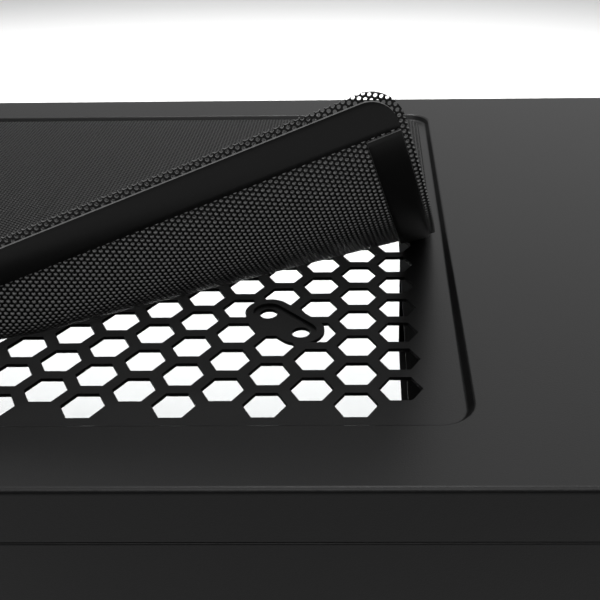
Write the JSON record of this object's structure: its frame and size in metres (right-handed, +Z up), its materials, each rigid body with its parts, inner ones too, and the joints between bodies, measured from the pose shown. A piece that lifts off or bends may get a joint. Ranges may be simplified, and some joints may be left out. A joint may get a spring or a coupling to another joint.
{
  "type": "computer tower case",
  "caption": "Empty black steel computer tower case with a honeycomb top vent, fan mounts and a magnetic mesh dust filter peeled up at one corner.",
  "frame": {"origin": "centre of the overall box at floor level", "axes": "+X to the front of the case, +Y to the glass side, +Z up"},
  "size_m": [0.516, 0.254, 0.5439],
  "materials": {
    "black_coat": "satin powder coat",
    "filter_mesh": "matte flexible pvc mesh",
    "magnet_strip": "satin magnetic rubber",
    "fan_plastic": "matte",
    "screw_steel": "black zinc",
    "brass": "machined",
    "rubber": "matte",
    "posts": "satin powder coat",
    "feet": "matte",
    "floor_filter": "matte",
    "glass": "clear tempered",
    "fascia_plastic": "fine matte",
    "grille": "satin",
    "front_cloth": "woven nylon",
    "board": "solder mask",
    "ports": "matte"
  },
  "bodies": {
    "case": {"bottom_panel": "black_coat", "drive_cage": "black_coat", "fan_screws": "screw_steel", "foot_front_glass": "feet", "foot_front_steel": "feet", "foot_rear_glass": "feet", "foot_rear_steel": "feet", "front_bulkhead": "black_coat", "front_fan_lower_frame": "fan_plastic", "front_fan_upper_frame": "fan_plastic", "glass_posts": "posts", "grommet_1": "rubber", "grommet_2": "rubber", "motherboard_tray": "black_coat", "optical_cage": "black_coat", "pad_front_glass": "rubber", "pad_front_steel": "rubber", "pad_rear_glass": "rubber", "pad_rear_steel": "rubber", "psu_shroud": "black_coat", "rear_fan_frame": "fan_plastic", "rear_panel": "black_coat", "slot_cover_1": "black_coat", "slot_cover_2": "black_coat", "slot_cover_3": "black_coat", "slot_cover_4": "black_coat", "slot_cover_5": "black_coat", "slot_cover_6": "black_coat", "slot_cover_7": "black_coat", "slot_screws": "screw_steel", "standoffs": "brass", "top_panel": "black_coat"},
    "filter": {"filter_mesh_base": "filter_mesh", "strip_far": "magnet_strip", "strip_left": "magnet_strip", "strip_near_base": "magnet_strip", "strip_right_base": "magnet_strip"},
    "filter_flap": {"filter_mesh_flap": "filter_mesh", "strip_near_flap": "magnet_strip", "strip_right_flap": "magnet_strip"},
    "steel_side": {"side_panel": "black_coat", "side_panel_screws": "screw_steel"},
    "glass_side": {"glass_panel": "glass", "glass_knobs": "screw_steel", "glass_washers": "rubber"},
    "front": {"fascia": "fascia_plastic", "front_grille": "grille", "front_filter": "front_cloth", "bay_cover": "fascia_plastic", "io_board": "board", "usb_port_1": "ports", "usb_port_2": "ports", "audio_jack": "ports"},
    "power": {"power_button": "fascia_plastic"},
    "reset": {"reset_button": "fascia_plastic"},
    "rear_rotor": {"rear_fan_rotor": "fan_plastic"},
    "lower_rotor": {"front_fan_lower_rotor": "fan_plastic"},
    "upper_rotor": {"front_fan_upper_rotor": "fan_plastic"},
    "floor_filter": {"floor_filter_frame": "floor_filter", "floor_filter_mesh": "floor_filter"}
  },
  "joints": [
    {"name": "filter_lift", "type": "slide", "parent": "case", "child": "filter", "axis": [0, 0, 1], "range_m": [0, 0.06]},
    {"name": "filter_peel", "type": "hinge", "parent": "filter", "child": "filter_flap", "pos_m": [-0.0896, -0.101, 0.4797], "axis": [-0.8838, -0.4679, 0], "range_deg": [0, 30]},
    {"name": "side_panel_slide", "type": "slide", "parent": "case", "child": "steel_side", "axis": [-1, 0, 0], "range_m": [0, 0.03]},
    {"name": "glass_lift_off", "type": "slide", "parent": "case", "child": "glass_side", "axis": [0, 1, 0], "range_m": [0, 0.06]},
    {"name": "front_pull_off", "type": "slide", "parent": "case", "child": "front", "axis": [1, 0, 0], "range_m": [0, 0.05]},
    {"name": "power_press", "type": "slide", "parent": "front", "child": "power", "axis": [0, 0, -1], "range_m": [0, 0.0025], "stiffness_N_per_m": 400},
    {"name": "reset_press", "type": "slide", "parent": "front", "child": "reset", "axis": [0, 0, -1], "range_m": [0, 0.0025], "stiffness_N_per_m": 400},
    {"name": "rear_fan_spin", "type": "hinge", "parent": "case", "child": "rear_rotor", "pos_m": [-0.235, 0.01, 0.385], "axis": [1, 0, 0], "continuous": true},
    {"name": "lower_fan_spin", "type": "hinge", "parent": "case", "child": "lower_rotor", "pos_m": [0.206, 0, 0.098], "axis": [1, 0, 0], "continuous": true},
    {"name": "upper_fan_spin", "type": "hinge", "parent": "case", "child": "upper_rotor", "pos_m": [0.206, 0, 0.24], "axis": [1, 0, 0], "continuous": true},
    {"name": "floor_filter_slide", "type": "slide", "parent": "case", "child": "floor_filter", "axis": [-1, 0, 0], "range_m": [0, 0.15]}
  ]
}
